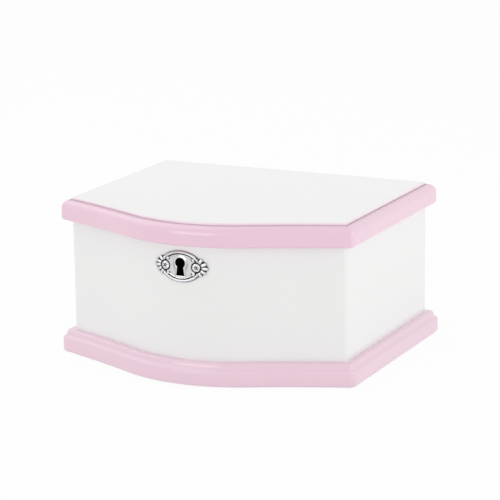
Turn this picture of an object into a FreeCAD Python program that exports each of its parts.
"""A musical jewellery box with a bow front, a lift-up lid and a dancer that rises and turns.

Frame: +Z up, front towards -Y, origin on the floor at the middle of the base. Sizes in millimetres.
"""
import FreeCAD
import Part
import math
import os

V = FreeCAD.Vector

# Case: outside of the white walls, before the mouldings are added
BODY_WIDTH = 186.6
BODY_DEPTH = 126.0
WALL = 6.0
CORNER_R = 2.5
BOW_HALF = 36.5
BOW_RADIUS = 84.0
WING_RADIUS = 680.0

# Heights
PAD_T = 1.0
PLINTH_H = 14.3
WALL_H = 70.3
LID_GAP = 0.5
LID_H = 14.2

# Mouldings
PLINTH_OUT = 7.4
LID_OUT = 5.7
STEP_IN = 5.9
STEP_H = 1.8
OVOLO_R = 5.4
ARRIS_R = 1.0
PAINT_IN = 0.6
EDGE_R = 0.5
PLINTH_STEP_IN = 2.8
PLINTH_STEP_H = 2.6
PLINTH_BEAD_R = 2.0
PLINTH_OVOLO_R = 2.4
LID_CORNER_R = 2.5
PLINTH_CORNER_R = 5.0
LEDGE = 4.0
BOTTOM_T = 4.0
PAD_R = 5.0
PAD_INSET = 11.0

# Lid parts
PANEL_T = 5.0
LINER_T = 3.0
MIRROR_W = 120.0
MIRROR_D = 84.0
MIRROR_T = 2.0
MIRROR_PROUD = 0.8
BEZEL_W = 4.0

# Hinges
HINGE_LEN = 30.0
HINGE_X = 55.0
KNUCKLE_R = 1.9
HINGE_PIN_R = 0.75
LEAF_T = 0.9
LEAF_W = 5.2
RUN_CLEAR = 0.05
MOVE_CLEAR = 0.3
SCREW_R = 0.9
SCREW_HEAD_R = 1.6
SCREW_LEN = 5.0

# Escutcheon and lock
PLATE_T = 1.2
PLATE_W = 28.4
PLATE_H = 20.4
PLATE_DROP = 13.6
PETAL_R = 2.3
PETAL_RING = 2.7
FLOWER_X = 11.2
KEYHOLE_R = 3.4
KEYHOLE_DROP = 8.2
KEYHOLE_NECK = 4.2
KEYHOLE_FOOT = 5.6
LOCK_W = 19.0
LOCK_H = 24.0
LOCK_D = 8.0
LOCK_SKIN = 1.2
LOCK_FACE = 3.2
BOLT_LEN = 6.4
BOLT_H = 4.0
BOLT_T = 1.6
BOLT_TRAVEL = 4.0
STAPLE_W = 4.4
STAPLE_T = 1.6
STAPLE_DROP = 9.0
STAPLE_CLEAR = 0.8

# Inside
DIVIDER_T = 3.0
DIVIDER_H = 25.1
STAGE_HALF = 43.5
STAGE_FRONT = -16.5
DECK_T = 3.0
LINING_T = 1.0
ROLL_COUNT = 7
ROLL_H = 22.0
SOFT_GAP = 0.3

# Music movement
PLATE_BED_T = 2.5
SPINDLE_Y = 16.0
SPINDLE_R = 1.5
BUSH_R = 3.2
BARREL_TEETH = 52
SPINDLE_TEETH = 16
DRIVE_MODULE = 0.5
MESH_ANGLE = 60.0
BARREL_R = 12.2
BARREL_H = 9.0
BARREL_SKIN = 1.0
RIM_T = 2.0
CROWN_TEETH = 36
PINION_TEETH = 12
CROWN_MODULE = 0.6
ARBOR_R = 2.4
KEY_END_R = 1.5
KEY_HUB_R = 3.4
KEY_SPAN = 24.0
KEY_WING_T = 1.8
CYL_R = 6.5
NOTES = 18
NOTE_PITCH = 1.0
PIN_H = 0.5
PIN_W = 0.4
ARBOR_THIN_R = 0.9
TRAIN_MODULE = 0.4
CYL_WHEEL_TEETH = 32
IDLER_PINION_TEETH = 12
IDLER_WHEEL_TEETH = 30
FAN_PINION_TEETH = 12
WHEEL_T = 1.5
CHEEK_T = 1.2
FAN_R = 5.4
FAN_T = 0.6
BRAKE_R = 2.6
COMB_T = 1.2
WIRE_R = 0.6
STOP_R = 1.2
STOP_X = 37.0
STOP_BACK = 7.4
STOP_LIFT = 4.0

# Dancer
CAP_R = 5.0
CAP_H = 2.4
SPRING_R = 2.3
SPRING_WIRE_R = 0.35
SPRING_LEN = 12.0
SPRING_TURNS = 7
PEG_CLEAR = 0.45
PEG_LEN = 0.8
FOLD_DEG = 75.0
DANCER_H = 50.0
SKIRT_R = 14.0
SKIRT_T = 1.2

# Derived places
HALF_W = BODY_WIDTH / 2
ALPHA = math.asin(BOW_HALF / BOW_RADIUS)
BETA = math.asin(math.sin(ALPHA) - (HALF_W - BOW_HALF) / WING_RADIUS)
BOW = (BOW_RADIUS * (1 - math.cos(ALPHA))
       + WING_RADIUS * (math.cos(BETA) - math.cos(ALPHA)))
BACK_Y = (BODY_DEPTH + BOW) / 2
TIP_Y = BACK_Y - BODY_DEPTH - BOW
BOW_CENTRE_Y = TIP_Y + BOW_RADIUS
INNER_BACK = BACK_Y - WALL
STOP_Y = INNER_BACK - STOP_BACK
INNER_X = HALF_W - WALL
PLINTH_TOP = PAD_T + PLINTH_H
WALL_TOP = PLINTH_TOP + WALL_H
LID_BOTTOM = WALL_TOP + LID_GAP
LID_TOP = LID_BOTTOM + LID_H
FLOOR_Z = PLINTH_TOP
DIVIDER_TOP = FLOOR_Z + DIVIDER_H
DECK_TOP = DIVIDER_TOP + DECK_T
BED_TOP = FLOOR_Z + PLATE_BED_T
DRIVE_CENTRES = DRIVE_MODULE * (BARREL_TEETH + SPINDLE_TEETH) / 2
BARREL_X = DRIVE_CENTRES * math.cos(math.radians(MESH_ANGLE))
BARREL_Y = SPINDLE_Y + DRIVE_CENTRES * math.sin(math.radians(MESH_ANGLE))
BARREL_Z0 = BED_TOP + 0.8
BARREL_Z1 = BARREL_Z0 + BARREL_H
CROWN_R = CROWN_TEETH * CROWN_MODULE / 2
CYL_Z = BARREL_Z1 + 1.1 * CROWN_MODULE + PINION_TEETH * CROWN_MODULE / 2
CYL_Y = BARREL_Y
IDLER_Y = CYL_Y - TRAIN_MODULE * (CYL_WHEEL_TEETH + IDLER_PINION_TEETH) / 2
FAN_Y = IDLER_Y - TRAIN_MODULE * (IDLER_WHEEL_TEETH + FAN_PINION_TEETH) / 2
PINION_X = BARREL_X - CROWN_R
RIGHT_CHEEK_X = BARREL_X - DRIVE_MODULE * (BARREL_TEETH / 2 + 1) - 1.0 - CHEEK_T
CYL_X1 = RIGHT_CHEEK_X - 1.2
CYL_X0 = CYL_X1 - NOTES * NOTE_PITCH
WHEEL1_X = CYL_X0 - 1.2 - WHEEL_T
WHEEL2_X = WHEEL1_X - 1.2 - WHEEL_T
LEFT_CHEEK_X = WHEEL2_X - 1.2 - CHEEK_T
CAP_TOP = DECK_TOP + MOVE_CLEAR + CAP_H


def box(x0, x1, y0, y1, z0, z1):
    """A plain block between two corners."""
    return Part.makeBox(x1 - x0, y1 - y0, z1 - z0, V(x0, y0, z0))


def post(r, z0, z1, x=0.0, y=0.0):
    """An upright cylinder."""
    return Part.makeCylinder(r, z1 - z0, V(x, y, z0))


def rod(r, x0, x1, y, z):
    """A cylinder that lies along X."""
    return Part.makeCylinder(r, x1 - x0, V(x0, y, z), V(1, 0, 0))


def arc(start, middle, end):
    return Part.Arc(start, middle, end).toShape()


def line(start, end):
    return Part.LineSegment(start, end).toShape()


def face_of(edges):
    return Part.Face(Part.Wire(edges))


def outline(grow):
    """The plan of the case, grown outwards by a distance: straight back and sides, S-curved front."""
    half = HALF_W + grow
    back = BACK_Y + grow
    r1 = BOW_RADIUS + grow
    r2 = WING_RADIUS - grow
    wing_x = (BOW_RADIUS + WING_RADIUS) * math.sin(ALPHA)
    wing_y = BOW_CENTRE_Y - (BOW_RADIUS + WING_RADIUS) * math.cos(ALPHA)
    end = math.asin((wing_x - half) / r2)
    mid = (ALPHA + end) / 2

    def wing(angle, side):
        return V(side * (wing_x - r2 * math.sin(angle)), wing_y + r2 * math.cos(angle), 0)

    tip = V(0, BOW_CENTRE_Y - r1, 0)
    corner_r, join_r = wing(end, 1), wing(ALPHA, 1)
    corner_l, join_l = wing(end, -1), wing(ALPHA, -1)
    return face_of([
        line(V(half, back, 0), V(-half, back, 0)),
        line(V(-half, back, 0), corner_l),
        arc(corner_l, wing(mid, -1), join_l),
        arc(join_l, tip, join_r),
        arc(join_r, wing(mid, 1), corner_r),
        line(corner_r, V(half, back, 0)),
    ])


def slab(grow, z0, z1):
    """The plan outline as a board."""
    board = outline(grow).extrude(V(0, 0, z1 - z0))
    board.translate(V(0, 0, z0))
    return board


def edges_at(shape, z):
    """Edges that lie wholly at one height."""
    return [e for e in shape.Edges if abs(e.BoundBox.ZMin - z) < 1e-6 and abs(e.BoundBox.ZMax - z) < 1e-6]


def upright_edges(shape):
    return [e for e in shape.Edges if e.BoundBox.XLength < 1e-6 and e.BoundBox.YLength < 1e-6]


def rounded_slab(grow, z0, z1, r):
    """A board whose four corners, and not its smooth joins, are rounded in plan."""
    board = slab(grow, z0, z1)
    corners = [e for e in upright_edges(board) if abs(e.BoundBox.XMax) > BOW_HALF + WALL + PLINTH_OUT]
    return board.makeFillet(r, corners)


def moulded_board(grow, z0, z1, top_r, arris_r, corner_r):
    """A board with a quarter round along its upper edge, an eased lower edge and rounded corners."""
    board = slab(grow, z0, z1)
    board = board.makeFillet(top_r, edges_at(board, z1))
    board = board.makeFillet(arris_r, edges_at(board, z0))
    return board.common(rounded_slab(grow, z0, z1, corner_r))


def eased_step(grow, z0, z1, r):
    """The raised fillet on top of a moulding."""
    board = slab(grow, z0, z1)
    return board.makeFillet(r, edges_at(board, z1))


def spur(teeth, module, thickness, phase):
    """A spur wheel about Z with straight-flanked teeth; phase is the angle of one tooth's middle."""
    pitch_r = teeth * module / 2
    root, tip = pitch_r - 1.2 * module, pitch_r + 0.9 * module
    step = 2 * math.pi / teeth
    points = []
    for n in range(teeth):
        middle = phase + n * step
        for r, share in ((root, -0.27), (tip, -0.13), (tip, 0.13), (root, 0.27)):
            a = middle + share * step
            points.append(V(r * math.cos(a), r * math.sin(a), 0))
    points.append(points[0])
    return Part.Face(Part.makePolygon(points)).extrude(V(0, 0, thickness))


def lay_x(shape, x, y, z):
    """Turns a wheel made about Z to lie about X, its lower face at x."""
    shape.rotate(V(0, 0, 0), V(0, 1, 0), 90)
    shape.translate(V(x, y, z))
    return shape


def fused(first, *others):
    return first.fuse(list(others)).removeSplitter()


def screw(x, y, z, up):
    """A small countersunk screw whose head is flush at z; up is +1 where the head faces up."""
    head = Part.makeCone(SCREW_HEAD_R, SCREW_R, SCREW_HEAD_R - SCREW_R, V(x, y, z), V(0, 0, -up))
    shank = Part.makeCylinder(SCREW_R, SCREW_LEN, V(x, y, z), V(0, 0, -up))
    return fused(head, shank)


# Case

def make_plinth():
    """The pink base moulding: a frame with a rebate for the bottom board."""
    shelf = PLINTH_TOP - PLINTH_STEP_H
    frame = moulded_board(PLINTH_OUT, PAD_T, shelf, PLINTH_OVOLO_R, ARRIS_R, PLINTH_CORNER_R)
    frame = frame.fuse(eased_step(PLINTH_OUT - PLINTH_STEP_IN, shelf - 1.0, PLINTH_TOP, PLINTH_BEAD_R))
    frame = frame.cut(slab(-WALL - LEDGE, 0, PLINTH_TOP + 1))
    return frame.cut(slab(-WALL, PLINTH_TOP - BOTTOM_T, PLINTH_TOP + 1)).removeSplitter()


def make_bottom():
    board = slab(-WALL - RUN_CLEAR, PLINTH_TOP - BOTTOM_T, PLINTH_TOP)
    board = board.cut(post(ARBOR_R + 1.0, 0, PLINTH_TOP + 1, BARREL_X, BARREL_Y))
    return board.cut(Part.makeCompound([s for s in movement_screws()]))


def make_walls():
    """Four wall boards: the sides run the full depth, the back and the bowed front stand between them."""
    ring = rounded_slab(0, PLINTH_TOP, WALL_TOP, CORNER_R).cut(slab(-WALL, 0, WALL_TOP + 1))
    far = BODY_WIDTH * 2
    left = ring.common(box(-far, -INNER_X, -far, far, 0, WALL_TOP + 1))
    right = ring.common(box(INNER_X, far, -far, far, 0, WALL_TOP + 1))
    back = ring.common(box(-INNER_X, INNER_X, 0, far, 0, WALL_TOP + 1))
    front = ring.common(box(-INNER_X, INNER_X, -far, 0, 0, WALL_TOP + 1))
    back = back.cut(hinge_mortises(WALL_TOP - LEAF_T, WALL_TOP + 1))
    back = back.cut(Part.makeCompound(hinge_screws(WALL_TOP, 1)))
    front = front.cut(keyhole_bar(TIP_Y - 5, TIP_Y + 40, 0.4))
    front = front.cut(lock_box(MOVE_CLEAR / 2, 1.0))
    front = front.cut(Part.makeCompound(pin_bodies(RUN_CLEAR)))
    return left, right, back, front


def make_pads():
    """Four felt pads under the corners of the plinth."""
    x = HALF_W + (PLINTH_OUT - WALL - LEDGE) / 2
    rows = (BACK_Y - BODY_DEPTH + PAD_INSET, BACK_Y - PAD_INSET)
    return Part.makeCompound([post(PAD_R, 0, PAD_T, side * x, y) for side in (-1, 1) for y in rows])


# Lid

def make_lid():
    """The moulded frame, the white panel let into its top and the liner board that closes it below."""
    shelf = LID_TOP - STEP_H
    frame = moulded_board(LID_OUT, LID_BOTTOM, shelf, OVOLO_R, ARRIS_R, LID_CORNER_R)
    frame = frame.fuse(eased_step(LID_OUT - STEP_IN, shelf - 1.0, LID_TOP, EDGE_R))
    rebate = LID_OUT - STEP_IN - PAINT_IN
    frame = frame.cut(slab(rebate, LID_TOP - PANEL_T, LID_TOP + 1))
    frame = frame.cut(slab(-WALL, LID_BOTTOM - 1, LID_TOP)).removeSplitter()
    frame = frame.cut(hinge_mortises(LID_BOTTOM - 1, LID_BOTTOM + LEAF_T))
    frame = frame.cut(Part.makeCompound(hinge_screws(LID_BOTTOM, -1))).cut(link_plate_block(RUN_CLEAR))
    panel = slab(rebate, LID_TOP - PANEL_T, LID_TOP)
    liner = slab(-WALL - RUN_CLEAR, LID_BOTTOM, LID_BOTTOM + LINER_T)
    liner = liner.cut(mirror_glass(RUN_CLEAR)).cut(link_plate_block(RUN_CLEAR))
    spacer = slab(-WALL - RUN_CLEAR, LID_BOTTOM + LINER_T, LID_TOP - PANEL_T)
    spacer = spacer.cut(slab(-WALL * 3, LID_BOTTOM, LID_TOP))
    spacer = spacer.cut(link_plate_block(RUN_CLEAR))
    return frame, panel, liner, spacer


def mirror_middle_y():
    return (INNER_BACK + TIP_Y + BOW + WALL) / 2


def mirror_glass(clear):
    y = mirror_middle_y()
    z1 = LID_BOTTOM + MIRROR_T - MIRROR_PROUD + clear
    glass = box(-MIRROR_W / 2 - clear, MIRROR_W / 2 + clear, y - MIRROR_D / 2 - clear,
                y + MIRROR_D / 2 + clear, LID_BOTTOM - MIRROR_PROUD, z1)
    return glass.makeFillet(4.0, upright_edges(glass))


def make_bezel():
    """A thin frame that keeps the mirror in the liner."""
    y = mirror_middle_y()
    half_w, half_d = MIRROR_W / 2 + BEZEL_W, MIRROR_D / 2 + BEZEL_W
    z0 = LID_BOTTOM - MIRROR_PROUD - 0.8
    ring = box(-half_w, half_w, y - half_d, y + half_d, z0, LID_BOTTOM)
    ring = ring.makeFillet(6.0, upright_edges(ring))
    lip = 2.0
    hole = box(-MIRROR_W / 2 + lip, MIRROR_W / 2 - lip, y - MIRROR_D / 2 + lip,
               y + MIRROR_D / 2 - lip, z0 - 1, LID_BOTTOM)
    hole = hole.makeFillet(4.0, upright_edges(hole))
    return ring.cut(hole).cut(mirror_glass(RUN_CLEAR))


# Hinges

def hinge_mortises(z0, z1):
    """Room for the leaves and the knuckles of both hinges."""
    shapes = []
    for side in (-1, 1):
        x0 = side * HINGE_X - HINGE_LEN / 2 - RUN_CLEAR
        x1 = x0 + HINGE_LEN + 2 * RUN_CLEAR
        shapes.append(box(x0, x1, BACK_Y - LEAF_W - RUN_CLEAR, BACK_Y + LID_OUT + 1, z0, z1))
        shapes.append(Part.makeCylinder(KNUCKLE_R + MOVE_CLEAR, x1 - x0, V(x0, BACK_Y, WALL_TOP), V(1, 0, 0)))
    return Part.makeCompound(shapes)


def hinge_screws(z, up):
    return [screw(side * HINGE_X + dx, BACK_Y - LEAF_W * 0.66, z, up)
            for side in (-1, 1) for dx in (-HINGE_LEN / 3, HINGE_LEN / 3)]


def hinge_leaf(side, z0, z1, knuckles, screws):
    """One leaf with its knuckles; knuckles lists the fifths of the hinge that this leaf owns."""
    x0 = side * HINGE_X - HINGE_LEN / 2
    fifth = HINGE_LEN / 5
    leaf = box(x0, x0 + HINGE_LEN, BACK_Y - LEAF_W, BACK_Y, z0, z1)
    for n in range(5):
        start = x0 + n * fifth
        if n in knuckles:
            leaf = leaf.fuse(rod(KNUCKLE_R, start + RUN_CLEAR, start + fifth - RUN_CLEAR, BACK_Y, WALL_TOP))
        else:
            leaf = leaf.cut(rod(KNUCKLE_R + MOVE_CLEAR, start - RUN_CLEAR, start + fifth + RUN_CLEAR,
                                BACK_Y, WALL_TOP))
    leaf = leaf.cut(rod(HINGE_PIN_R + RUN_CLEAR, x0 - 1, x0 + HINGE_LEN + 1, BACK_Y, WALL_TOP))
    return leaf.cut(Part.makeCompound(screws)).removeSplitter()


def hinge_pin(side):
    x0 = side * HINGE_X - HINGE_LEN / 2
    return rod(HINGE_PIN_R, x0, x0 + HINGE_LEN, BACK_Y, WALL_TOP)


# Escutcheon and lock

def plate_z():
    return WALL_TOP - PLATE_DROP


def keyhole_face(grow):
    """A round eye above a flared slot, drawn in the XZ plane."""
    z = plate_z() + 2.2
    r = KEYHOLE_R + grow
    neck, foot = KEYHOLE_NECK / 2 + grow, KEYHOLE_FOOT / 2 + grow
    low = z - KEYHOLE_DROP - grow
    drop = math.sqrt(r * r - neck * neck)
    return face_of([
        arc(V(neck, 0, z - drop), V(0, 0, z + r), V(-neck, 0, z - drop)),
        line(V(-neck, 0, z - drop), V(-foot, 0, low)),
        line(V(-foot, 0, low), V(foot, 0, low)),
        line(V(foot, 0, low), V(neck, 0, z - drop)),
    ])


def keyhole_bar(y0, y1, grow):
    bar = keyhole_face(grow)
    bar.translate(V(0, y0, 0))
    return bar.extrude(V(0, y1 - y0, 0))


def bow_shell(y_out, y_in):
    """A stretch of the bowed front's own curve between two distances in front of its face."""
    z0, z1 = plate_z() - PLATE_H, plate_z() + PLATE_H
    outer = post(BOW_RADIUS + y_out, z0, z1, 0, BOW_CENTRE_Y)
    return outer.cut(post(BOW_RADIUS + y_in, z0 - 1, z1 + 1, 0, BOW_CENTRE_Y))


def disc_y(r, x, z, y0, y1):
    return Part.makeCylinder(r, y1 - y0, V(x, y0, z), V(0, 1, 0))


def make_escutcheon():
    """An oval plate with a raised rim and a flower at each end, bent to the bow of the front."""
    z = plate_z()
    near, far = TIP_Y - 8.0, TIP_Y + 8.0

    def oval(shrink):
        ring = Part.Ellipse(V(0, 0, 0), PLATE_W / 2 - shrink, PLATE_H / 2 - shrink)
        disc = Part.Face(Part.Wire(ring.toShape()))
        disc.rotate(V(0, 0, 0), V(1, 0, 0), 90)
        disc.translate(V(0, near, z))
        return disc.extrude(V(0, far - near, 0))

    plate = oval(0).common(bow_shell(PLATE_T, 0))
    plate = plate.cut(oval(1.6).cut(oval(2.4)).common(bow_shell(PLATE_T, PLATE_T * 0.6)))
    for side in (-1, 1):
        flower = [disc_y(PETAL_RING, side * FLOWER_X, z, near, far)]
        for n in range(5):
            a = math.pi / 2 - side * math.radians(90 + (n - 2) * 58)
            flower.append(disc_y(PETAL_R * 0.8, side * FLOWER_X + PETAL_R * 1.5 * math.cos(a),
                                 z + PETAL_R * 1.5 * math.sin(a), near, far))
        flower.append(disc_y(PETAL_R * 0.7, side * (FLOWER_X + PETAL_R * 1.5 + 0.9), z, near, far))
        plate = plate.fuse([s.common(bow_shell(PLATE_T * 1.4, 0)) for s in flower])
    plate = plate.cut(keyhole_bar(near, far, 0))
    return plate.cut(Part.makeCompound(pin_bodies(RUN_CLEAR))).removeSplitter()


def pin_bodies(clear):
    """Two small nails through the flowers, square to the bowed face."""
    nails = []
    for side in (-1, 1):
        a = side * math.asin(FLOWER_X / BOW_RADIUS)
        out = V(math.sin(a), -math.cos(a), 0)
        foot = V(0, BOW_CENTRE_Y, plate_z()) + out * (BOW_RADIUS - 3.4)
        nails.append(Part.makeCylinder(0.6 + clear, 3.4 + PLATE_T * 1.4 + 0.2, foot, out))
    return nails


def make_pins():
    heads = []
    for side in (-1, 1):
        a = side * math.asin(FLOWER_X / BOW_RADIUS)
        out = V(math.sin(a), -math.cos(a), 0)
        seat = V(0, BOW_CENTRE_Y, plate_z()) + out * (BOW_RADIUS + PLATE_T * 1.4 + RUN_CLEAR)
        heads.append(Part.makeSphere(1.3, seat, out, 0, 90, 360))
    return Part.makeCompound([fused(n, h) for n, h in zip(pin_bodies(0), heads)])


def lock_y():
    """The flat seat that the lock has in the back of the front board."""
    return TIP_Y + LOCK_FACE


def lock_box(grow, extra):
    z1 = WALL_TOP - MOVE_CLEAR
    return box(-LOCK_W / 2 - grow, LOCK_W / 2 + grow, lock_y(), lock_y() + LOCK_D + grow,
               z1 - LOCK_H - grow, z1 + extra)


def staple_block(clear):
    """The tongue on the lid that drops into the lock, or the room for it."""
    y = lock_y() + LOCK_D / 2
    return box(-STAPLE_T / 2 - clear, STAPLE_T / 2 + clear, y - STAPLE_W / 2 - clear,
               y + STAPLE_W / 2 + clear, WALL_TOP - STAPLE_DROP - clear, LID_BOTTOM + LEAF_T)


def make_lock():
    case = lock_box(0, 0)
    hollow = box(-LOCK_W / 2 + LOCK_SKIN, LOCK_W / 2 - LOCK_SKIN, lock_y() + LOCK_SKIN,
                 lock_y() + LOCK_D - LOCK_SKIN, WALL_TOP - MOVE_CLEAR - LOCK_H + LOCK_SKIN,
                 WALL_TOP - MOVE_CLEAR - LOCK_SKIN)
    case = case.cut(hollow)
    case = case.cut(keyhole_bar(lock_y() - 1, lock_y() + LOCK_SKIN + 0.5, 0.2))
    case = case.cut(staple_block(STAPLE_CLEAR))
    guide = box(-LOCK_W / 2 + LOCK_SKIN, -LOCK_W / 2 + LOCK_SKIN + 4.0, lock_y() + LOCK_SKIN,
                lock_y() + LOCK_D - LOCK_SKIN, bolt_z() - BOLT_H / 2 - 1.6, bolt_z() - BOLT_H / 2 - RUN_CLEAR)
    return case.fuse(guide).removeSplitter()


def bolt_z():
    return WALL_TOP - 5.0


def make_bolt():
    x1 = -STAPLE_T / 2 - STAPLE_CLEAR
    y = lock_y() + LOCK_D / 2
    return box(x1 - BOLT_LEN, x1, y - BOLT_T / 2, y + BOLT_T / 2, bolt_z() - BOLT_H / 2,
               bolt_z() + BOLT_H / 2)


def link_plate_block(clear):
    y = lock_y() + LOCK_D / 2
    return box(-LOCK_W / 2 - clear, LOCK_W / 2 + clear, y - 4.0 - clear, y + 4.0 + clear,
               LID_BOTTOM - 0.01, LID_BOTTOM + LEAF_T + clear)


def make_link_plate():
    """The lid's half of the lock: a plate with a staple for the bolt."""
    y = lock_y() + LOCK_D / 2
    eye = box(-STAPLE_T, STAPLE_T, y - BOLT_T / 2 - 0.4, y + BOLT_T / 2 + 0.4,
              bolt_z() - BOLT_H / 2 - 0.6, bolt_z() + BOLT_H / 2 + 0.6)
    return fused(link_plate_block(0), staple_block(0)).cut(eye)


# Inside fittings

def inside(grow):
    """The clear inside of the case as a block."""
    return slab(-WALL + grow, FLOOR_Z, WALL_TOP)


def make_dividers():
    t = DIVIDER_T
    top = DIVIDER_TOP
    cross = box(-INNER_X, INNER_X, STAGE_FRONT, STAGE_FRONT + t, FLOOR_Z, top).common(inside(-RUN_CLEAR))
    left = box(-STAGE_HALF, -STAGE_HALF + t, STAGE_FRONT + t, INNER_BACK - RUN_CLEAR, FLOOR_Z, top)
    right = box(STAGE_HALF - t, STAGE_HALF, STAGE_FRONT + t, INNER_BACK - RUN_CLEAR, FLOOR_Z, top)
    front = box(-t / 2, t / 2, TIP_Y, STAGE_FRONT, FLOOR_Z, top).common(inside(-RUN_CLEAR))
    return cross, left, right, front


def make_deck():
    deck = box(-STAGE_HALF, STAGE_HALF, STAGE_FRONT, INNER_BACK - RUN_CLEAR, DIVIDER_TOP, DECK_TOP)
    deck = deck.makeFillet(1.0, edges_at(deck, DECK_TOP))
    deck = deck.cut(post(BUSH_R, DIVIDER_TOP - 1, DECK_TOP + 1, 0, SPINDLE_Y))
    return deck.cut(post(STOP_R + MOVE_CLEAR, DIVIDER_TOP - 1, DECK_TOP + 1, STOP_X, STOP_Y))


def make_bush():
    bush = post(BUSH_R, DIVIDER_TOP, DECK_TOP, 0, SPINDLE_Y)
    return bush.cut(post(SPINDLE_R + RUN_CLEAR, DIVIDER_TOP - 1, DECK_TOP + 1, 0, SPINDLE_Y))


def compartments():
    """Clear plan areas of the four compartments: rear left, rear right, front left, front right."""
    g = SOFT_GAP
    back0, back1 = STAGE_FRONT + DIVIDER_T + g, INNER_BACK - g
    front1 = STAGE_FRONT - g
    side0, side1 = STAGE_HALF + g, INNER_X - g
    return [(-side1, -side0, back0, back1), (side0, side1, back0, back1),
            (-side1, -DIVIDER_T / 2 - g, TIP_Y, front1), (DIVIDER_T / 2 + g, side1, TIP_Y, front1)]


def make_lining():
    """Thin velvet floors."""
    keep = inside(-SOFT_GAP)
    floors = []
    for x0, x1, y0, y1 in compartments():
        floors.append(box(x0, x1, y0, y1, FLOOR_Z, FLOOR_Z + LINING_T).common(keep))
    return Part.makeCompound([f.Solids[0] for f in floors])


def make_ring_rolls():
    """Foam rolls for rings: straight sides, round top, slightly drawn-in ends."""
    x0, x1, y0, y1 = compartments()[1]
    pitch = (y1 - y0) / ROLL_COUNT
    half = (pitch - SOFT_GAP) / 2
    z0 = FLOOR_Z + LINING_T
    rolls = []
    for n in range(ROLL_COUNT):
        y = y0 + (n + 0.5) * pitch

        def section(x, pull):
            h = half - pull
            z1 = z0 + ROLL_H - pull - h
            return Part.Wire([
                line(V(x, y - h, z0), V(x, y + h, z0)),
                line(V(x, y + h, z0), V(x, y + h, z1)),
                arc(V(x, y + h, z1), V(x, y + h * math.sqrt(0.5), z1 + h * math.sqrt(0.5)), V(x, y, z1 + h)),
                arc(V(x, y, z1 + h), V(x, y - h * math.sqrt(0.5), z1 + h * math.sqrt(0.5)), V(x, y - h, z1)),
                line(V(x, y - h, z1), V(x, y - h, z0)),
            ])

        ends = ((x0, 0.9), (x0 + 2.5, 0.0), (x1 - 2.5, 0.0), (x1, 0.9))
        rolls.append(Part.makeLoft([section(x, p) for x, p in ends], True, True))
    return Part.makeCompound(rolls)


# Music movement

def movement_screws():
    x0, x1, y0, y1 = bed_area()
    return [screw(x, y, BED_TOP, 1) for x, y in ((x0 + 4, y0 + 4), (x1 - 4, y0 + 4), (x1 - 4, y1 - 4),
                                                 (x0 + 4, y1 - 4))]


def bed_area():
    return LEFT_CHEEK_X - 2.0, BARREL_X + BARREL_R + 6.0, FAN_Y - 8.0, CYL_Y + 30.0


def make_frame():
    """The cast frame of the movement: bed, two cheeks for the arbors and the comb's pedestal."""
    x0, x1, y0, y1 = bed_area()
    frame = box(x0, x1, y0, y1, FLOOR_Z, BED_TOP)
    frame = frame.makeFillet(4.0, upright_edges(frame))
    for x in (LEFT_CHEEK_X, RIGHT_CHEEK_X):
        cheek = box(x, x + CHEEK_T, FAN_Y - 4.0, CYL_Y + 5.0, BED_TOP, CYL_Z + 4.0)
        tops = [e for e in edges_at(cheek, CYL_Z + 4.0) if e.BoundBox.YLength < 1e-6]
        frame = frame.fuse(cheek.makeFillet(3.5, tops))
    frame = frame.fuse(box(CYL_X0 - 0.5, CYL_X1 + 0.5, comb_root_y() - 1.0, comb_end_y(), BED_TOP,
                           CYL_Z - COMB_T / 2))
    for y in (CYL_Y, IDLER_Y, FAN_Y):
        frame = frame.cut(rod(ARBOR_THIN_R + RUN_CLEAR, LEFT_CHEEK_X - 1, RIGHT_CHEEK_X + CHEEK_T + 1, y, CYL_Z))
    frame = frame.cut(post(ARBOR_R + RUN_CLEAR, 0, BED_TOP + 1, BARREL_X, BARREL_Y))
    frame = frame.cut(post(SPINDLE_R + RUN_CLEAR, FLOOR_Z + 0.6, BED_TOP + 1, 0, SPINDLE_Y))
    frame = frame.cut(Part.makeCompound(movement_screws()))
    return frame.cut(Part.makeCompound(comb_screws())).removeSplitter()


def comb_root_y():
    return CYL_Y + CYL_R + 10.0


def comb_end_y():
    return comb_root_y() + 9.0


def comb_screws():
    z = CYL_Z + COMB_T / 2
    return [screw(x, comb_root_y() + 4.5, z, 1) for x in (CYL_X0 + 4.0, CYL_X1 - 4.0)]


def make_comb():
    """The steel comb: one tuned tooth to each note, its tip just clear of the pins."""
    tip = CYL_Y + CYL_R + PIN_H + MOVE_CLEAR
    comb = box(CYL_X0, CYL_X1, tip, comb_end_y(), CYL_Z - COMB_T / 2, CYL_Z + COMB_T / 2)
    slots = []
    for n in range(1, NOTES):
        x = CYL_X0 + n * NOTE_PITCH
        slots.append(box(x - 0.14, x + 0.14, tip - 1, comb_root_y() - 0.3 * n, CYL_Z - 2, CYL_Z + 2))
    relief = box(CYL_X0 - 1, CYL_X1 + 1, tip - 1, comb_root_y() - 3.0, CYL_Z - 2, CYL_Z - COMB_T / 2 + 0.5)
    return comb.cut(slots).cut(relief).cut(Part.makeCompound(comb_screws()))


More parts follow.
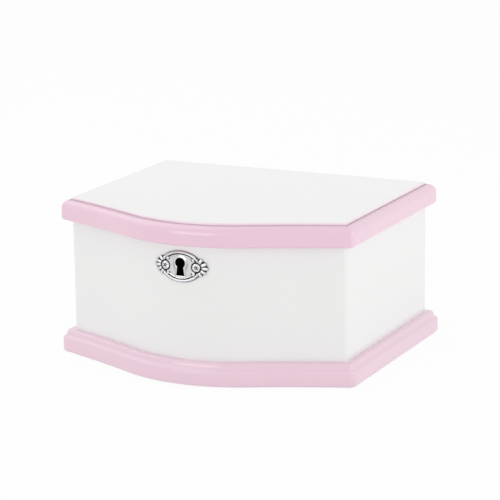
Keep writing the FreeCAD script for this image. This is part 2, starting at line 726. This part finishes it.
def make_barrel():
    """The drum of the mainspring: spur rim below for the dancer, crown teeth above for the cylinder."""
    centre = V(BARREL_X, BARREL_Y, 0)
    drum = post(BARREL_R, BARREL_Z0, BARREL_Z1)
    rim = spur(BARREL_TEETH, DRIVE_MODULE, RIM_T, math.radians(MESH_ANGLE) + math.pi)
    rim.translate(V(0, 0, BARREL_Z0))
    deep = 1.1 * CROWN_MODULE
    high = deep + 0.9 * CROWN_MODULE
    step = 2 * math.pi / CROWN_TEETH
    pitch = CROWN_MODULE * math.pi
    teeth = []
    for n in range(CROWN_TEETH):
        w0, w1 = 0.22 * pitch, 0.12 * pitch
        tooth = Part.Face(Part.makePolygon([
            V(CROWN_R - 0.9, -w0, BARREL_Z1 - 0.2), V(CROWN_R - 0.9, w0, BARREL_Z1 - 0.2),
            V(CROWN_R - 0.9, w1, BARREL_Z1 + high), V(CROWN_R - 0.9, -w1, BARREL_Z1 + high),
            V(CROWN_R - 0.9, -w0, BARREL_Z1 - 0.2)])).extrude(V(1.8, 0, 0))
        tooth.rotate(V(0, 0, 0), V(0, 0, 1), math.degrees((n + 0.5) * step))
        teeth.append(tooth)
    drum = drum.fuse([rim] + teeth)
    drum = drum.cut(post(BARREL_R - BARREL_SKIN, BARREL_Z0 - 1, BARREL_Z1 - BARREL_SKIN))
    drum = drum.cut(post(ARBOR_R + RUN_CLEAR, BARREL_Z0 - 1, BARREL_Z1 + 3))
    drum.translate(centre)
    cover = post(BARREL_R - BARREL_SKIN - RUN_CLEAR, BARREL_Z0, BARREL_Z0 + BARREL_SKIN)
    cover = cover.cut(post(ARBOR_R + RUN_CLEAR, BARREL_Z0 - 1, BARREL_Z1))
    cover.translate(centre)
    return drum.removeSplitter(), cover


def make_mainspring():
    """A flat spiral of half circles, each larger than the last."""
    strip, grow = 0.35, 0.55
    r = ARBOR_R + 1.2
    outer, inner = [], []
    side, x = 1, 0.0
    while r + grow + strip < BARREL_R - BARREL_SKIN - MOVE_CLEAR:
        a, b = x + side * r, x - side * r
        outer.append((V(a + side * strip, 0, 0), V(x, side * (r + strip), 0), V(b - side * strip, 0, 0)))
        inner.append((V(a, 0, 0), V(x, side * r, 0), V(b, 0, 0)))
        r += grow
        x += -side * -grow
        side = -side
    edges = [arc(*p) for p in outer]
    edges.append(line(outer[-1][2], inner[-1][2]))
    edges += [arc(p[2], p[1], p[0]) for p in reversed(inner)]
    edges.append(line(inner[0][0], outer[0][0]))
    spiral = face_of(edges).extrude(V(0, 0, BARREL_H - 2 * BARREL_SKIN - 1.0))
    spiral.translate(V(BARREL_X, BARREL_Y, BARREL_Z0 + BARREL_SKIN + 0.5))
    return spiral


def make_arbor():
    """The winding arbor, from the key below the box to the top of the drum."""
    arbor = post(ARBOR_R, PLINTH_TOP - BOTTOM_T - 0.5, BARREL_Z1 + 0.4)
    end = post(KEY_END_R, key_z0() + 1.0, PLINTH_TOP - BOTTOM_T)
    collar = post(ARBOR_R + 1.2, BARREL_Z1 + MOVE_CLEAR, BARREL_Z1 + MOVE_CLEAR + 0.8)
    arbor = fused(arbor, end, collar)
    arbor.translate(V(BARREL_X, BARREL_Y, 0))
    return arbor


def key_z0():
    return PAD_T + 1.2


def make_key():
    """A butterfly key in the recess under the box."""
    z0, z1 = key_z0(), PLINTH_TOP - BOTTOM_T - 1.0
    key = post(KEY_HUB_R, z0, z1)
    mid = (z0 + z1) / 2
    high = (z1 - z0) / 2 - 0.2
    for side in (-1, 1):
        wing = Part.makeCylinder(high, KEY_WING_T, V(side * (KEY_SPAN / 2 - high), -KEY_WING_T / 2, mid), V(0, 1, 0))
        web = box(min(0, side * (KEY_SPAN / 2 - high)), max(0, side * (KEY_SPAN / 2 - high)), -KEY_WING_T / 2,
                  KEY_WING_T / 2, mid - high * 0.75, mid + high * 0.75)
        eye = Part.makeCylinder(high * 0.45, 6, V(side * (KEY_SPAN / 2 - high), -3, mid), V(0, 1, 0))
        key = key.fuse([wing, web]).cut(eye)
    key = key.cut(post(KEY_END_R + RUN_CLEAR, z0 + 0.9, z1 + 1))
    key.translate(V(BARREL_X, BARREL_Y, 0))
    return key.removeSplitter()


def make_cylinder():
    """The pinned cylinder with its pinion, its wheel and its arbor."""
    drum = rod(CYL_R, CYL_X0, CYL_X1, CYL_Y, CYL_Z)
    pins = []
    for n in range(NOTES):
        x = CYL_X0 + (n + 0.5) * NOTE_PITCH
        for k in range(2):
            pin = box(-PIN_W / 2, PIN_W / 2, -PIN_W / 2, PIN_W / 2, CYL_R - PIN_H, CYL_R + PIN_H)
            pin.rotate(V(0, 0, 0), V(1, 0, 0), (n * 77 + k * 131) % 360)
            pin.translate(V(x, CYL_Y, CYL_Z))
            pins.append(pin)
    return drum.fuse(pins).cut(rod(ARBOR_THIN_R, CYL_X0 - 1, CYL_X1 + 1, CYL_Y, CYL_Z))


def make_cylinder_arbor():
    arbor = rod(ARBOR_THIN_R, LEFT_CHEEK_X, PINION_X + 1.4, CYL_Y, CYL_Z)
    pinion = lay_x(spur(PINION_TEETH, CROWN_MODULE, 1.8, 0.0), PINION_X - 0.9, CYL_Y, CYL_Z)
    wheel = lay_x(spur(CYL_WHEEL_TEETH, TRAIN_MODULE, WHEEL_T, math.pi / 2), WHEEL1_X, CYL_Y, CYL_Z)
    return fused(arbor, pinion, wheel)


def make_idler():
    half = math.pi / IDLER_PINION_TEETH
    arbor = rod(ARBOR_THIN_R, LEFT_CHEEK_X, RIGHT_CHEEK_X + CHEEK_T, IDLER_Y, CYL_Z)
    pinion = lay_x(spur(IDLER_PINION_TEETH, TRAIN_MODULE, WHEEL_T, math.pi / 2 + half), WHEEL1_X, IDLER_Y, CYL_Z)
    wheel = lay_x(spur(IDLER_WHEEL_TEETH, TRAIN_MODULE, WHEEL_T, math.pi / 2), WHEEL2_X, IDLER_Y, CYL_Z)
    return fused(arbor, pinion, wheel)


def make_fan():
    """The air brake: a pinion, two vanes and a small drum for the stop."""
    half = math.pi / FAN_PINION_TEETH
    arbor = rod(ARBOR_THIN_R, LEFT_CHEEK_X, RIGHT_CHEEK_X + CHEEK_T + 3.0, FAN_Y, CYL_Z)
    pinion = lay_x(spur(FAN_PINION_TEETH, TRAIN_MODULE, WHEEL_T, math.pi / 2 + half), WHEEL2_X, FAN_Y, CYL_Z)
    vane = box(CYL_X0 + 2.0, CYL_X1 - 2.0, FAN_Y - FAN_R, FAN_Y + FAN_R, CYL_Z - FAN_T / 2, CYL_Z + FAN_T / 2)
    brake = rod(BRAKE_R, RIGHT_CHEEK_X + CHEEK_T + 0.8, RIGHT_CHEEK_X + CHEEK_T + 2.6, FAN_Y, CYL_Z)
    return fused(arbor, pinion, vane, brake)


def make_stop_wire():
    """The lid holds this wire down on the brake drum; it lifts off as the lid opens."""
    z = CYL_Z + BRAKE_R + WIRE_R + 0.1
    post_top = LID_BOTTOM - MOVE_CLEAR
    x1 = RIGHT_CHEEK_X + CHEEK_T + 1.0
    upright = post(STOP_R, z - STOP_R, post_top, STOP_X, STOP_Y)
    crown = upright.makeFillet(0.8, edges_at(upright, post_top))
    run = Part.makeCylinder(WIRE_R, STOP_Y - FAN_Y + 1.0, V(STOP_X, FAN_Y - 1.0, z), V(0, 1, 0))
    arm = rod(WIRE_R, x1, STOP_X, FAN_Y - 1.0, z)
    knee = Part.makeSphere(WIRE_R, V(STOP_X, FAN_Y - 1.0, z))
    return fused(crown, run, arm, knee)


def make_spindle():
    """The upright shaft that turns the dancer, with its pinion and the cap that holds the spring."""
    half = math.pi / SPINDLE_TEETH
    pinion = spur(SPINDLE_TEETH, DRIVE_MODULE, RIM_T, math.radians(MESH_ANGLE) + half)
    pinion.translate(V(0, SPINDLE_Y, BARREL_Z0))
    shaft = post(SPINDLE_R, FLOOR_Z + 0.6, CAP_TOP - 0.5, 0, SPINDLE_Y)
    collar = post(SPINDLE_R + 1.5, BED_TOP + RUN_CLEAR, BARREL_Z0, 0, SPINDLE_Y)
    return fused(shaft, pinion, collar)


def make_cap():
    cap = post(CAP_R, CAP_TOP - CAP_H, CAP_TOP, 0, SPINDLE_Y)
    cap = cap.makeFillet(1.0, edges_at(cap, CAP_TOP))
    return cap.cut(post(SPINDLE_R, 0, CAP_TOP - 0.5, 0, SPINDLE_Y))


# Dancer, drawn upright and then folded forward under the closed lid

def spring_points(fold_deg, per_turn=4):
    """The spring's wire: turns about a line that leaves the cap upright and bends forward by the fold."""
    fold = math.radians(fold_deg)
    count = SPRING_TURNS * per_turn
    points = []
    for n in range(count + 1):
        s = n / count
        a = 2 * math.pi * SPRING_TURNS * s
        bend = fold * s
        if fold:
            r = SPRING_LEN / fold
            y, z = -r * (1 - math.cos(bend)), r * math.sin(bend)
        else:
            y, z = 0.0, SPRING_LEN * s
        across = SPRING_R * math.cos(a)
        ahead = SPRING_R * math.sin(a)
        points.append(V(across, SPINDLE_Y + y + ahead * math.cos(bend),
                        CAP_TOP + SPRING_WIRE_R + z + ahead * math.sin(bend)))
    return points


def make_spring():
    """One unbroken wire of tangent arcs, two to each quarter turn."""
    points = spring_points(FOLD_DEG)
    tangents = []
    for n, p in enumerate(points):
        before = points[max(n - 1, 0)]
        after = points[min(n + 1, len(points) - 1)]
        tangents.append((after - before).normalize())
    edges = []
    for n in range(len(points) - 1):
        edges += biarc(points[n], tangents[n], points[n + 1], tangents[n + 1])
    ring = wire_section(points[0], tangents[0])
    skin = [Part.Face(ring)]
    for edge in edges:
        centre, axis, degrees = turning(edge)
        skin += ring.revolve(centre, axis, degrees).Faces
        ring = ring.copy()
        ring.rotate(centre, axis, degrees)
    skin.append(Part.Face(ring))
    shell = Part.makeShell(skin)
    shell.sewShape()
    wire = Part.Solid(shell)
    if wire.Volume < 0:
        wire.reverse()
    return wire


def wire_section(place, along):
    """The spring wire's section as an eight-sided ring, as fine as so thin a wire needs."""
    side = along.cross(V(0, 0, 1)).normalize()
    up = side.cross(along)
    corners = []
    for n in range(9):
        a = math.pi / 4 * n
        corners.append(place + side * (SPRING_WIRE_R * math.cos(a)) + up * (SPRING_WIRE_R * math.sin(a)))
    corners[-1] = corners[0]
    return Part.makePolygon(corners)


def turning(edge):
    """Centre, axis and signed angle that carry an arc's start to its end."""
    curve = edge.Curve
    first, last = edge.Vertexes[0].Point, edge.Vertexes[-1].Point
    a, b = first - curve.Center, last - curve.Center
    angle = math.degrees(math.atan2(a.cross(b).dot(curve.Axis), a.dot(b)))
    return curve.Center, curve.Axis, angle


def bent_bar(edge, r):
    """A round bar along one arc that is less than a full turn."""
    curve = edge.Curve
    start = edge.valueAt(edge.FirstParameter)
    ring = Part.Face(Part.Wire(Part.makeCircle(r, start, edge.tangentAt(edge.FirstParameter))))
    return ring.revolve(curve.Center, curve.Axis, math.degrees(edge.Length / curve.Radius))


def biarc(p0, t0, p1, t1):
    """Two arcs that leave p0 along t0, meet smoothly and reach p1 along t1."""
    v = p1 - p0
    t = t0 + t1
    a = 2 * (1 - t0.dot(t1))
    b = 2 * v.dot(t)
    c = -v.dot(v)
    d = -c / b if abs(a) < 1e-9 else (-b + math.sqrt(b * b - 4 * a * c)) / (2 * a)
    q0, q1 = p0 + t0 * d, p1 - t1 * d
    joint = (q0 + q1) * 0.5
    return [tangent_arc(p0, t0, joint), tangent_arc(joint, (q1 - q0).normalize(), p1)]


def tangent_arc(start, along, end):
    """The arc from start, leaving along a direction, to end."""
    chord = end - start
    normal = chord - along * chord.dot(along)
    if normal.Length < 1e-7:
        return line(start, end)
    normal.normalize()
    r = chord.dot(chord) / (2 * chord.dot(normal))
    centre = start + normal * r
    middle = centre + ((start - centre) + (end - centre)).normalize() * r
    return arc(start, middle, end)


def fold_pivot():
    """The point about which the straightened spring carries the dancer from folded to upright."""
    fold = math.radians(FOLD_DEG)
    r = SPRING_LEN / fold
    folded = V(0, -r * (1 - math.cos(fold)), r * math.sin(fold))
    upright = V(0, 0, SPRING_LEN)
    half = (upright - folded) * 0.5
    across = V(0, -half.z, half.y) * (1 / math.tan(fold / 2))
    middle = (upright + folded) * 0.5
    pivot = min((middle + across, middle - across), key=lambda p: abs(p.y) + abs(p.z - SPRING_LEN / 2))
    return pivot + V(0, SPINDLE_Y, CAP_TOP + SPRING_WIRE_R)


def fold(shape):
    shape.rotate(fold_pivot(), V(1, 0, 0), FOLD_DEG)
    return shape


def toe_z():
    return CAP_TOP + SPRING_WIRE_R + SPRING_LEN + SPRING_WIRE_R + 0.1


def make_figure():
    """The moulded dancer: on the toes of joined legs, arms raised in a ring over the head."""
    k = DANCER_H / 50.0
    z = toe_z()

    def at(r, h):
        return V(r * k, SPINDLE_Y, z + h * k)

    peg = (SPRING_R - SPRING_WIRE_R - PEG_CLEAR) / k
    rings = ((0.0, -PEG_LEN), (peg, -PEG_LEN), (peg, 0.0), (2.7, 0.0), (2.7, 0.9), (1.0, 1.6), (1.3, 5.0), (2.0, 10.0), (1.7, 13.0), (2.6, 20.0),
             (3.3, 24.0), (2.3, 28.0), (2.9, 32.0), (2.4, 34.0), (1.0, 35.0), (1.0, 37.0), (0.0, 37.0))
    half = Part.Face(Part.makePolygon([at(r, h) for r, h in rings] + [at(*rings[0])]))
    body = half.revolve(V(0, SPINDLE_Y, 0), V(0, 0, 1), 360)
    head = Part.makeSphere(2.9 * k, at(0, 38.6))
    bun = Part.makeSphere(1.5 * k, at(0, 41.3) + V(0, 0.7 * k, 0))
    arms = bent_bar(arc(at(-2.2, 33.6), at(0, 48.8), at(2.2, 33.6)), 0.85 * k)
    figure = body.fuse([head, bun, arms])
    return fold(figure)


def skirt_z():
    return toe_z() + DANCER_H * 0.47


def make_skirt():
    """The tutu: a shallow scalloped cone round the hips."""
    k = DANCER_H / 50.0
    z = skirt_z()
    inner = 3.3 * k + MOVE_CLEAR
    profile = Part.makePolygon([V(inner, SPINDLE_Y, z + 1.2), V(SKIRT_R, SPINDLE_Y, z - 1.2),
                                V(SKIRT_R, SPINDLE_Y, z - 1.2 - SKIRT_T), V(inner, SPINDLE_Y, z + 1.2 - SKIRT_T),
                                V(inner, SPINDLE_Y, z + 1.2)])
    skirt = Part.Face(profile).revolve(V(0, SPINDLE_Y, 0), V(0, 0, 1), 360)
    return fold(skirt)


def spring_gap():
    """The least clear distance between one turn of the spring and the next."""
    points = spring_points(FOLD_DEG, 40)
    turn = 40
    gaps = [(points[n] - points[m]).Length for n in range(len(points)) for m in range(n + turn // 2, len(points))]
    return min(gaps) - 2 * SPRING_WIRE_R


def build():
    left, right, back, front = make_walls()
    lid_frame, lid_panel, lid_liner, lid_spacer = make_lid()
    cross, left_div, right_div, front_div = make_dividers()
    barrel, barrel_cover = make_barrel()
    lower = hinge_screws(WALL_TOP, 1)
    upper = hinge_screws(LID_BOTTOM, -1)
    parts = {
        "plinth": make_plinth(),
        "bottom_board": make_bottom(),
        "left_wall": left,
        "right_wall": right,
        "back_wall": back,
        "front_wall": front,
        "felt_pads": make_pads(),
        "escutcheon": make_escutcheon(),
        "escutcheon_nails": make_pins(),
        "lock_case": make_lock(),
        "lock_bolt": make_bolt(),
        "lid_frame": lid_frame,
        "lid_panel": lid_panel,
        "lid_liner": lid_liner,
        "lid_spacer": lid_spacer,
        "mirror": mirror_glass(0),
        "mirror_bezel": make_bezel(),
        "link_plate": make_link_plate(),
        "cross_divider": cross,
        "left_divider": left_div,
        "right_divider": right_div,
        "front_divider": front_div,
        "stage_deck": make_deck(),
        "spindle_bush": make_bush(),
        "velvet_floors": make_lining(),
        "ring_rolls": make_ring_rolls(),
        "movement_frame": make_frame(),
        "movement_screws": Part.makeCompound(movement_screws()),
        "comb": make_comb(),
        "comb_screws": Part.makeCompound(comb_screws()),
        "spring_barrel": barrel,
        "barrel_cover": barrel_cover,
        "mainspring": make_mainspring(),
        "winding_arbor": make_arbor(),
        "winding_key": make_key(),
        "music_cylinder": make_cylinder(),
        "cylinder_arbor": make_cylinder_arbor(),
        "idler_wheel": make_idler(),
        "governor_fan": make_fan(),
        "stop_wire": make_stop_wire(),
        "spindle": make_spindle(),
        "spindle_cap": make_cap(),
        "dancer_spring": make_spring(),
        "dancer": make_figure(),
        "dancer_skirt": make_skirt(),
        "hinge_screws_case": Part.makeCompound(lower),
        "hinge_screws_lid": Part.makeCompound(upper),
    }
    for name, side in (("left", -1), ("right", 1)):
        parts[name + "_hinge_case_leaf"] = hinge_leaf(side, WALL_TOP - LEAF_T, WALL_TOP, (0, 2, 4), lower)
        parts[name + "_hinge_lid_leaf"] = hinge_leaf(side, LID_BOTTOM, LID_BOTTOM + LEAF_T, (1, 3), upper)
        parts[name + "_hinge_pin"] = hinge_pin(side)
    return parts


def main():
    os.makedirs("parts", exist_ok=True)
    for name, shape in build().items():
        shape.exportStep(os.path.join("parts", name + ".step"))
        print(name, len(shape.Solids), "valid" if shape.isValid() else "INVALID", round(shape.Volume, 2))
    print("back", round(BACK_Y, 3), "bow", round(BOW, 3), "pivot", fold_pivot())
    print("least gap between spring turns", round(spring_gap(), 3))


main()
